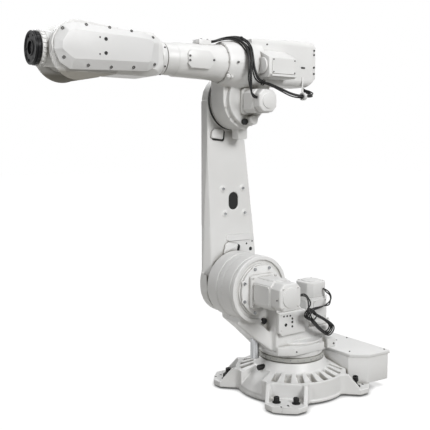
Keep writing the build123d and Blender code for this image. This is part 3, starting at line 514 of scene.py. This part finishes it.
def screws(name, body, places, material="screw"):
    work = bmesh.new()
    for at, axis, r in places:
        socket_screw(work, at, axis, r)
    return made(name, work, body, material)


# Black discs for holes and slots: painted shade.
def holes(name, body, places):
    work = bmesh.new()
    for at, axis, r in places:
        dark_hole(work, at, axis, r)
    return made(name, work, body, "black_plastic")


def plates(name, body, material, forms):
    # Each form is an outline, its place, its two directions, its thickness and its broken edge.
    work = bmesh.new()
    for form in forms:
        plate(work, *form)
    return made(name, work, body, material)


def turned(name, body, material, profile, at, axis, segments):
    work = bmesh.new()
    lathe(work, profile, at, axis, segments)
    return made(name, work, body, material)


# Foot bolts, lid screws and the screws of the turning ring
FOOT_Z = 45
LID_Z = 232
LOOSE_BOLT = (-1, 1, 250)
LOOSE_BOLT_AXIS = (0.26, 0.08, 1)
RING_R = 206.5
RING_Z = 231


def foot_bolt(work, at, axis, rise):
    head = [(0, 16), (8, 16), (9, 30), (15.5, 30), (17, 28), (17, 3), (17, 0)]
    lathe(work, [(r, rise + h) for r, h in head], at, axis, 24)
    lathe(work, [(8, rise + 2), (8, -1)], at, axis, 16)


work = bmesh.new()
for sx, sy in CORNERS:
    for x, y in ((330, 250), (250, 330)):
        foot = (sx * x, sy * y, FOOT_Z)
        lathe(work, [(0, 4), (24, 4), (24.5, 3), (24.5, -1)], foot, UP, 24)
        if (sx, sy, x) == LOOSE_BOLT:
            foot_bolt(work, foot, LOOSE_BOLT_AXIS, 40)
        else:
            foot_bolt(work, foot, UP, 4)
made("foot_bolts", work, "base", "black_plastic")
holes("foot_holes", "base", [((sx * x, sy * y, FOOT_Z), UP, 6) for sx, sy in CORNERS
                             for x, y in ((355, 320), (309, 325))])
lid_spots = ((-290, 230), (-290, -230), (-505, 325), (-505, -325), (-505, 0))
screws("lid_screws", "base", [((x, y, LID_Z), UP, 5) for x, y in lid_spots])
holes("lid_slots", "base", [((-411, -4, LID_Z), UP, 6), ((-340, 0, LID_Z), UP, 4)])
places = []
for a in circle(30):
    out = Vector((math.cos(a), math.sin(a), 0))
    places.append((out * RING_R + Vector((0, 0, RING_Z)), out, 4))
screws("ring_screws", "turntable", places, "steel")

# Turntable: cover plates and screws of the motors, connector holes
LOBE_R = 138.0
LOBE_Y = 148
HIDDEN_LOBE = 5
YAW_X, YAW_Y = -145, 20
lobes = [a for k, a in enumerate(circle(8, 22.5)) if k != HIDDEN_LOBE]
screws("lobe_screws", "turntable",
       [((AXIS_X + LOBE_R * math.cos(a), LOBE_Y, SHOULDER_Z + LOBE_R * math.sin(a)), LEFT, 9) for a in lobes],
       "steel")
screws("turntable_dark_screws", "turntable",
       [((446, 381, 686), AHEAD, 4), ((143, 210, 302), LEFT, 5), ((-186, 190, 295), LEFT, 6)])
places = []
for sx, sz in CORNERS:
    places.append(((AXIS_X + sx * 83, 170, SHOULDER_Z + sz * 83), LEFT, 7))
    places.append(((AXIS_X + sx * 53, 398, SHOULDER_Z + sz * 53), LEFT, 5))
    places.append(((YAW_X + sx * 80, YAW_Y + sz * 80, 428), UP, 7))
    places.append(((YAW_X + sx * 53, YAW_Y + sz * 53, 674), UP, 5))
    places.append(((446, 246 + sx * 58, SHOULDER_Z + sz * 46), AHEAD, 5))
    places.append(((AXIS_X + sz * 46, 246 + sx * 58, 778), UP, 5))
    places.append(((YAW_X + sx * 46, 106, 504 + sz * 52), LEFT, 5))
    places.append(((-60, YAW_Y + sx * 46, 504 + sz * 52), AHEAD, 5))
for x, z in ((36, 410), (36, 522), (222, 432), (222, 526)):
    places.append(((x, 159, z), LEFT, 4))
screws("turntable_screws", "turntable", places, "motor_white")
plates("motor_plates", "turntable", "motor_white", [
    (rounded(134, 108, 10), (442, 246, SHOULDER_Z), LEFT, UP, 5),
    (rounded(108, 134, 10), (AXIS_X, 246, 774), AHEAD, LEFT, 5),
    (rounded(108, 120, 10), (YAW_X, 102, 504), BEHIND, UP, 5),
    (rounded(108, 120, 10), (-63, YAW_Y, 504), LEFT, UP, 4),
])
connector_spots = ((201, 516, 6), (176, 515, 6), (151, 514, 6), (134, 494, 7), (134, 473, 7), (134, 446, 7),
                   (185, 462, 10))
holes("connector_holes", "turntable", [((x, 160, z), LEFT, r) for x, z, r in connector_spots])

# Lower arm: rubber behind the stop blocks, boss screws, holes
ARM_FACE_Y = -155
ARM_BACK_Y = -259
SLOT_X, SLOT_Z = 341, 1193


def stop_pad(x, z, width, height, turn):
    across = Vector((math.cos(math.radians(turn)), 0, math.sin(math.radians(turn))))
    up = Vector((-across.z, 0, across.x))
    return rounded(width, height, 14), (x, ARM_FACE_Y, z), -across, up, 9, 3


plates("stop_pads", "lower_arm", "black_plastic",
       [stop_pad(353, 888, 104, 92, 14), stop_pad(459, 1591, 88, 66, 6)])
plates("web_pad", "lower_arm", "white_paint",
       [(rounded(196, 40, 12), (298, ARM_FACE_Y, 968), BEHIND, UP, 8, 6)])
screws("arm_screws", "lower_arm",
       [((SLOT_X + sx * 74 + sz * 8, -149, SLOT_Z + sz * 76), LEFT, 8) for sx, sz in CORNERS], "steel")
holes("arm_holes", "lower_arm",
      [((x, ARM_FACE_Y, z), LEFT, r) for x, z, r in ((208, 887, 12), (240, 922, 6), (196, 934, 5))])
# Black plate on the slot's floor: painted shade inside the slot.
plates("slot_floor", "lower_arm", "black_plastic",
       [(rounded(71, 106, 35, 8), (SLOT_X, -165, SLOT_Z), BEHIND, UP, 4)])
turned("elbow_seal", "lower_arm", "black_plastic", [(168, 2), (172, 2), (172, 21), (168, 21), (168, 2)],
       (AXIS_X, ARM_FACE_Y, ELBOW_Z), LEFT, 90)
places = []
for z, r in ((SHOULDER_Z, 124), (ELBOW_Z, 102)):
    for a in circle(12):
        places.append(((AXIS_X + r * math.cos(a), ARM_BACK_Y, z + r * math.sin(a)), RIGHT, 6))
screws("side_cover_screws", "lower_arm", places)

# Upper arm: flange and cover screws, plates of the motors
COLLAR_R = 110
MOTOR_FACE_Y = 206
places = [((568, COLLAR_R * math.cos(a), WRIST_Z + COLLAR_R * math.sin(a)), AHEAD, 5) for a in circle(12)]
places += [((x, 0, z), LEFT, 6) for x, z in ((486, 1690), (454, 1662), (520, 1745))]
screws("collar_screws", "upper_arm", places, "motor_white")
places = [((x, 99, z), LEFT, 6) for x, z in ((823, 2003), (823, 1979), (668, 1990))]
places += [((-81, 87, z), LEFT, 6) for z in (2098, 2073, 1998, 1960)]
places += [((-93, y, z), BEHIND, 6) for y in (-80, 68) for z in (1950, 2027, 2104)]
places += [((262 + sx * 78, 211, 1973 + sz * 34), LEFT, 4) for sx, sz in CORNERS]
places += [((x, y, 2107), UP, 5) for x in (660, 700) for y in (24, -24)]
places += [((526, 132, 1986), LEFT, 6), ((291, 92, 2105), LEFT, 5), ((386, 92, 2066), LEFT, 5)]
screws("upper_arm_screws", "upper_arm", places)
# Studs at the collar in white paint, which also stands in for painted glints on them.
work = bmesh.new()
for x in (566, 544):
    profile = [(0, 13), (6, 12.5), (9, 10), (9.5, 6), (12, 4), (12, -8)]
    lathe(work, profile, (x, 94, 1910), (0, 0.75, -0.66), 24)
made("collar_studs", work, "upper_arm", "white_paint")
# Black plate for the slot on the house: painted shade inside the slot.
plates("house_slot", "upper_arm", "black_plastic", [(rounded(34, 10, 4.9), (11, 92, 1990), BEHIND, UP, 2)])
plates("arm_motor_plates", "upper_arm", "motor_white", [
    (rounded(172, 84, 8), (262, MOTOR_FACE_Y, 1973), BEHIND, UP, 5),
    (rounded(76, 92, 8), (428, 96, 1780), LEFT, UP, 4),
    (rounded(180, 12, 3), (262, MOTOR_FACE_Y, 1922), BEHIND, UP, 9),
])
turned("vent_cap", "upper_arm", "black_plastic", [(0, 14), (9, 14), (11, 12), (11, 2), (14, 0), (14, -6)],
       (302, -10, 1687), (-1, 0, -1), 20)

# Wrist: cover screws and holes on both sides, ring screws
TOP_ROW = ((1554, 2070), (1434, 2097), (1311, 2096), (1192, 2090), (1071, 2069))
LOW_ROW = ((1553, 1938), (1431, 1909), (1309, 1908), (1187, 1915), (1067, 1937))
COVER_HOLES = ((1344, 2036, 9), (1345, 1970, 9), (1375, 2042, 4), (1377, 1963, 4))
COVER_FACE_Y = 162
OUTSIDE_Y = 300
COVER_SCREW_SINK = 3
WRIST_RING_X = 963
WRIST_RING_R = 87.5
places = []
for side, cover in ((1, "wrist_cover_left"), (-1, "wrist_cover_right")):
    for x, z in TOP_ROW + LOW_ROW:
        spot, facing = seat(cover, (x, side * OUTSIDE_Y, z), (0, -side, 0))
        places.append((spot - facing * COVER_SCREW_SINK, facing, 8))
for degrees in (33, -33, 75, -75, 105, -105, 147, -147):
    a = math.radians(degrees)
    out = Vector((0, math.cos(a), math.sin(a)))
    places.append((Vector((WRIST_RING_X, 0, WRIST_Z)) + out * WRIST_RING_R, out, 5))
screws("wrist_screws", "wrist", places)
holes("cover_holes", "wrist", [((x, side * COVER_FACE_Y, z), (0, side, 0), r) for side in (1, -1)
                               for x, z, r in COVER_HOLES])


# Hand: ribs on the ring and the turned tool plate
FLANGE_X = 1631
FLANGE_PROFILE = [(0, 20), (31.5, 20), (31.5, 29), (36, 29), (38, 25), (66, 24), (69, 28), (71, 29), (78, 29),
                  (80, 27.5), (80, 23), (77, 22), (77, 17), (80, 16), (80, 3), (77, 0), (0, 0)]
BOLT_CIRCLE_R = 62.5


def teeth(outline, x, r, thickness):
    forms = []
    for a in circle(24):
        out = Vector((0, math.cos(a), math.sin(a)))
        at = Vector((x, 0, WRIST_Z)) + out * r
        forms.append((outline, at, AHEAD, Vector(AHEAD).cross(-out), thickness))
    return forms


plates("ring_ribs", "hand", "white_paint", teeth(rounded(18, 11, 3), 1616, 82.5, 4))
flange = turned("tool_flange_turned", "tool_plate", "black_flange", FLANGE_PROFILE,
                (FLANGE_X, 0, WRIST_Z), AHEAD, 72)
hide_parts("tool_flange")
plates("flange_teeth", "tool_plate", "black_flange", teeth(rounded(10, 9, 2.5), 1639.5, 79.5, 2.5))
screws("flange_bolts", "tool_plate",
       [((1654.5, BOLT_CIRCLE_R * math.cos(a), WRIST_Z + BOLT_CIRCLE_R * math.sin(a)), AHEAD, 5)
        for a in circle(6)],
       "black_flange")


# Cables
def run_curve(name, points):
    curve = bpy.data.curves.new(name, "CURVE")
    curve.dimensions = "3D"
    curve.resolution_u = 10
    spline = curve.splines.new("NURBS")
    spline.points.add(len(points) - 1)
    for spot, point in zip(spline.points, points):
        spot.co = (*mm(point), 1)
    spline.order_u = 3
    spline.use_endpoint_u = True
    return curve


def read_run(curve):
    holder = bpy.data.objects.new("run", curve)
    mesh = bpy.data.meshes.new_from_object(holder)
    line = [v.co.copy() for v in mesh.vertices]
    bpy.data.objects.remove(holder)
    bpy.data.meshes.remove(mesh)
    return line


def frames(line):
    # A direction across the run at each point, carried along without twist.
    across = (line[1] - line[0]).orthogonal().normalized()
    result = []
    for k, spot in enumerate(line):
        ahead = (line[min(k + 1, len(line) - 1)] - line[max(k - 1, 0)]).normalized()
        across = (across - ahead * across.dot(ahead)).normalized()
        result.append((spot, across, ahead.cross(across)))
    return result


def tube(work, line, radius, sides=8):
    angles = [2 * math.pi * k / sides for k in range(sides)]
    rings = []
    for spot, u, v in frames(line):
        ring = [spot + (u * math.cos(a) + v * math.sin(a)) * radius * MM for a in angles]
        rings.append([work.verts.new(corner) for corner in ring])
    for low, high in zip(rings, rings[1:]):
        for k in range(sides):
            n = (k + 1) % sides
            work.faces.new([low[k], low[n], high[n], high[k]])
    work.faces.new(rings[0])
    work.faces.new(rings[-1])


def cord_piece(name, points, body, radius):
    curve = run_curve(name, points)
    line = read_run(curve)
    curve.bevel_depth = radius * MM
    curve.bevel_resolution = 3
    curve.use_fill_caps = True
    curve.materials.append(MATERIALS["black_cable"])
    piece = bpy.data.objects.new(name, curve)
    link(piece, body)
    return piece, line


def bundle(name, points, body, node, strands):
    # One lead on the run itself and the others laid loosely around it.
    piece, line = cord_piece(name, points, body, STRAND_R)
    work = bmesh.new()
    for k in range(strands):
        strand = []
        for n, (spot, u, v) in enumerate(frames(line)):
            share = n / (len(line) - 1)
            a = 2 * math.pi * (k / strands + STRAND_TURNS * share) + 0.5 * math.sin(9 * share + 2 * k)
            out = STRAND_OUT + STRAND_STRAY * math.sin(14 * share + 2.4 * k)
            from_end = min(share, 1 - share)
            out *= min(1.0, STRAND_START + STRAND_FLARE * from_end)
            strand.append(spot + (u * math.cos(a) + v * math.sin(a)) * out * MM)
        tube(work, strand, STRAND_R)
    others = made(name + "_strands", work, body, "black_cable")
    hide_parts(node)
    return line


def from_point(offsets, start):
    return [tuple(a + b for a, b in zip(offset, start)) for offset in offsets]


ELBOW = (AXIS_X, 0, WRIST_Z)
SHOULDER = (AXIS_X, 0, SHOULDER_Z)
ARM_CABLE = [(278, 12, 114), (236, 12, 114), (183, 22, 133), (138, 50, 135), (112, 94, 115),
             (108, 140, 67), (110, 158, 3), (108, 164, -53), (107, 167, -107), (107, 169, -146),
             (102, 170, -177), (84, 170, -192), (63, 170, -193)]
ROLL_CABLE = [(278, -12, 114), (236, -12, 114), (178, -4, 135), (122, 26, 147), (92, 84, 129),
              (84, 136, 87), (86, 160, 17), (80, 166, -45), (64, 170, -87), (28, 170, -109),
              (-37, 162, -117), (-122, 150, -137), (-216, 132, -160), (-302, 114, -171),
              (-352, 106, -168), (-402, 99, -164), (-434, 84, -155), (-440, 58, -143), (-422, 38, -131),
              (-396, 40, -121), (-390, 46, -110)]
SHOULDER_LEAD = [(-77, 376, -4), (-112, 376, -4), (-154, 362, -20), (-192, 336, -58), (-224, 304, -100),
                 (-252, 276, -130), (-272, 256, -145)]
YAW_LEAD = [(-178, 99, 628), (-178, 126, 628), (-190, 150, 606), (-184, 168, 578), (-146, 182, 556),
            (-76, 194, 542), (6, 206, 538), (74, 224, 541)]
bundle("arm_cable_run", from_point(ARM_CABLE, ELBOW), "upper_arm", "arm_cable", 2)
roll_line = bundle("roll_cable_run", from_point(ROLL_CABLE, ELBOW), "upper_arm", "roll_cable", 3)
bundle("shoulder_lead_run", from_point(SHOULDER_LEAD, SHOULDER), "turntable", "shoulder_lead", 1)
bundle("yaw_lead_run", YAW_LEAD, "turntable", "yaw_lead", 1)

# Spare length of the leads, folded into a hank: half width and reach of each turn
HANK_TOP = Vector((84, 243, 540))
HANK_END = Vector((-152, 184, 386))
HANK_SPREAD = Vector((-27, 9, 37))
HANK_TIE = 92.0
HANK_TIE_AT = 108.0
HANK_PINCH = 16.0
HANK_EAR_SHARE = 0.95
HANK_EAR_AT = 126.0
HANK_TURNS = ((38, 150), (29, 139), (39, 151), (30, 140), (38, 150), (29, 139), (39, 151))
HANK_R = 4.2
HANK_PITCH = 6.4
HANK_MIDDLE = 160
HANK_WAIST_AT = 30
HANK_WAIST = 0.8
HANK_BELLY_AT = 0.35
HANK_FOLD = [math.radians(a) for a in (75, 25, -25, -75)]
HANK_TIE_R = 29
hank_run = (HANK_END - HANK_TOP).normalized()
hank_out = hank_run.cross(HANK_SPREAD).normalized()
hank_side = hank_out.cross(hank_run)
hank_middle = HANK_TOP + hank_run * HANK_MIDDLE


def hank_turn(half, reach):
    # One turn in its own plane, as run and side: the long loop, then an ear behind the tie.
    neck = half - HANK_PINCH
    ear = half * HANK_EAR_SHARE
    waist = half * HANK_WAIST
    belly_at = reach * HANK_BELLY_AT
    turn = [(-HANK_TIE, neck), (-HANK_WAIST_AT, waist), (belly_at, half)]
    turn += [(reach - half + half * math.cos(a), half * math.sin(a)) for a in HANK_FOLD]
    turn += [(belly_at, -half), (-HANK_WAIST_AT, -waist), (-HANK_TIE, -neck)]
    return turn + [(-HANK_EAR_AT - ear * math.cos(a), ear * math.sin(a)) for a in reversed(HANK_FOLD)]


def hank_points():
    points = [Vector(YAW_LEAD[-1])]
    rise = -HANK_PITCH * len(HANK_TURNS) / 2
    for half, reach in HANK_TURNS:
        turn = hank_turn(half, reach)
        for along, side in turn:
            points.append(hank_middle + hank_run * along + hank_side * side + hank_out * rise)
            rise += HANK_PITCH / len(turn)
    points = points[:-len(HANK_FOLD)]
    points.append(Vector(from_point(SHOULDER_LEAD, SHOULDER)[-1]))
    return [tuple(point) for point in points]


hank, hank_line = cord_piece("hank_run", hank_points(), "turntable", HANK_R)
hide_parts("lead_hank")


# Ties around the bundles and the white clip
def band(work, line, at, inner, outer, half):
    near = min(range(1, len(line) - 1), key=lambda k: (line[k] - mm(at)).length)
    ahead = line[near + 1] - line[near - 1]
    profile = [(inner, -half), (outer - 1, -half), (outer, 1 - half), (outer, half - 1), (outer - 1, half),
               (inner, half), (inner, -half)]
    lathe(work, profile, line[near] / MM, ahead, 20)


def tie(work, at, axis, inner):
    lathe(work, [(inner, -5), (inner + 2, -5), (inner + 3, -4), (inner + 3, 4), (inner + 2, 5), (inner, 5),
                 (inner, -5)], at, axis, 24)


work = bmesh.new()
band(work, roll_line, (20, 105, 1818), 13, 23, 11)
made("cable_clip", work, "upper_arm", "cover_plastic")
work = bmesh.new()
band(work, roll_line, (386, 165, 1866), 14, 17, 4)
band(work, roll_line, (460, 70, 2120), 14, 17, 4)
made("cable_ties", work, "upper_arm", "black_plastic")
work = bmesh.new()
tie(work, hank_middle - hank_run * HANK_TIE_AT, hank_run, HANK_TIE_R)
made("hank_tie", work, "turntable", "black_plastic")


# Studio
def floor():
    mesh = bpy.data.meshes.new("floor")
    half = FLOOR_HALF
    corners = [(-half, -half, 0), (half, -half, 0), (half, half, 0), (-half, half, 0)]
    mesh.from_pydata(corners, [], [(0, 1, 2, 3)])
    mat = bpy.data.materials.new("floor")
    mat.use_nodes = True
    tree = mat.node_tree
    tree.nodes.clear()
    out = tree.nodes.new("ShaderNodeOutputMaterial")
    matt = tree.nodes.new("ShaderNodeBsdfDiffuse")
    matt.inputs["Color"].default_value = (*FLOOR_PALE, 1)
    glow = tree.nodes.new("ShaderNodeEmission")
    # Painted shadow: ambient occlusion dims the floor's glow under and beside the object.
    painted_shadow = tree.nodes.new("ShaderNodeAmbientOcclusion")
    painted_shadow.inputs["Distance"].default_value = FLOOR_REACH
    level = tree.nodes.new("ShaderNodeMapRange")
    level.inputs["From Min"].default_value = 0.15
    level.inputs["From Max"].default_value = 0.75
    level.inputs["To Min"].default_value = FLOOR_SHADOW_GLOW
    level.inputs["To Max"].default_value = FLOOR_GLOW
    tree.links.new(painted_shadow.outputs["AO"], level.inputs["Value"])
    tree.links.new(level.outputs["Result"], glow.inputs["Strength"])
    seen = tree.nodes.new("ShaderNodeMixShader")
    share = tree.nodes.new("ShaderNodeMath")
    share.operation = "MULTIPLY"
    share.inputs[1].default_value = FLOOR_SEEN
    tree.links.new(seen_ray(tree), share.inputs[0])
    tree.links.new(share.outputs["Value"], seen.inputs["Fac"])
    tree.links.new(matt.outputs["BSDF"], seen.inputs[1])
    tree.links.new(glow.outputs["Emission"], seen.inputs[2])
    tree.links.new(seen.outputs["Shader"], out.inputs["Surface"])
    mesh.materials.append(mat)
    piece = bpy.data.objects.new("floor", mesh)
    bpy.context.scene.collection.objects.link(piece)


def seen_ray(tree):
    path = tree.nodes.new("ShaderNodeLightPath")
    total = path.outputs["Is Camera Ray"]
    for kind in ("Is Glossy Ray", "Is Transmission Ray"):
        either = tree.nodes.new("ShaderNodeMath")
        either.operation = "MAXIMUM"
        tree.links.new(total, either.inputs[0])
        tree.links.new(path.outputs[kind], either.inputs[1])
        total = either.outputs["Value"]
    return total


def world():
    scene = bpy.context.scene
    scene.world = bpy.data.worlds.new("studio")
    scene.world.use_nodes = True
    tree = scene.world.node_tree
    back = tree.nodes["Background"]
    back.inputs["Color"].default_value = (1, 1, 1, 1)
    level = tree.nodes.new("ShaderNodeMapRange")
    level.inputs["To Min"].default_value = AMBIENT
    level.inputs["To Max"].default_value = 1.0
    tree.links.new(seen_ray(tree), level.inputs["Value"])
    tree.links.new(level.outputs["Result"], back.inputs["Strength"])


def lights():
    for name, (place, aim, size, power) in LIGHTS.items():
        data = bpy.data.lights.new(name, "AREA")
        data.size = size
        data.energy = power
        lamp = bpy.data.objects.new(name, data)
        lamp.location = place
        lamp.rotation_euler = (Vector(aim) - Vector(place)).to_track_quat("-Z", "Y").to_euler()
        bpy.context.scene.collection.objects.link(lamp)


def camera():
    data = bpy.data.cameras.new("camera")
    data.sensor_width = 36.0
    data.lens = CAMERA_LENS
    data.clip_end = 100.0
    holder = bpy.data.objects.new("camera", data)
    holder.location = mm(CAMERA_AT)
    heading, pitch = math.radians(CAMERA_HEADING), math.radians(CAMERA_PITCH)
    level = math.cos(pitch)
    look = Vector((math.cos(heading) * level, math.sin(heading) * level, -math.sin(pitch)))
    holder.rotation_euler = look.to_track_quat("-Z", "Y").to_euler()
    bpy.context.scene.collection.objects.link(holder)
    bpy.context.scene.camera = holder


floor()
world()
lights()
camera()
bpy.context.scene.view_settings.view_transform = "Standard"
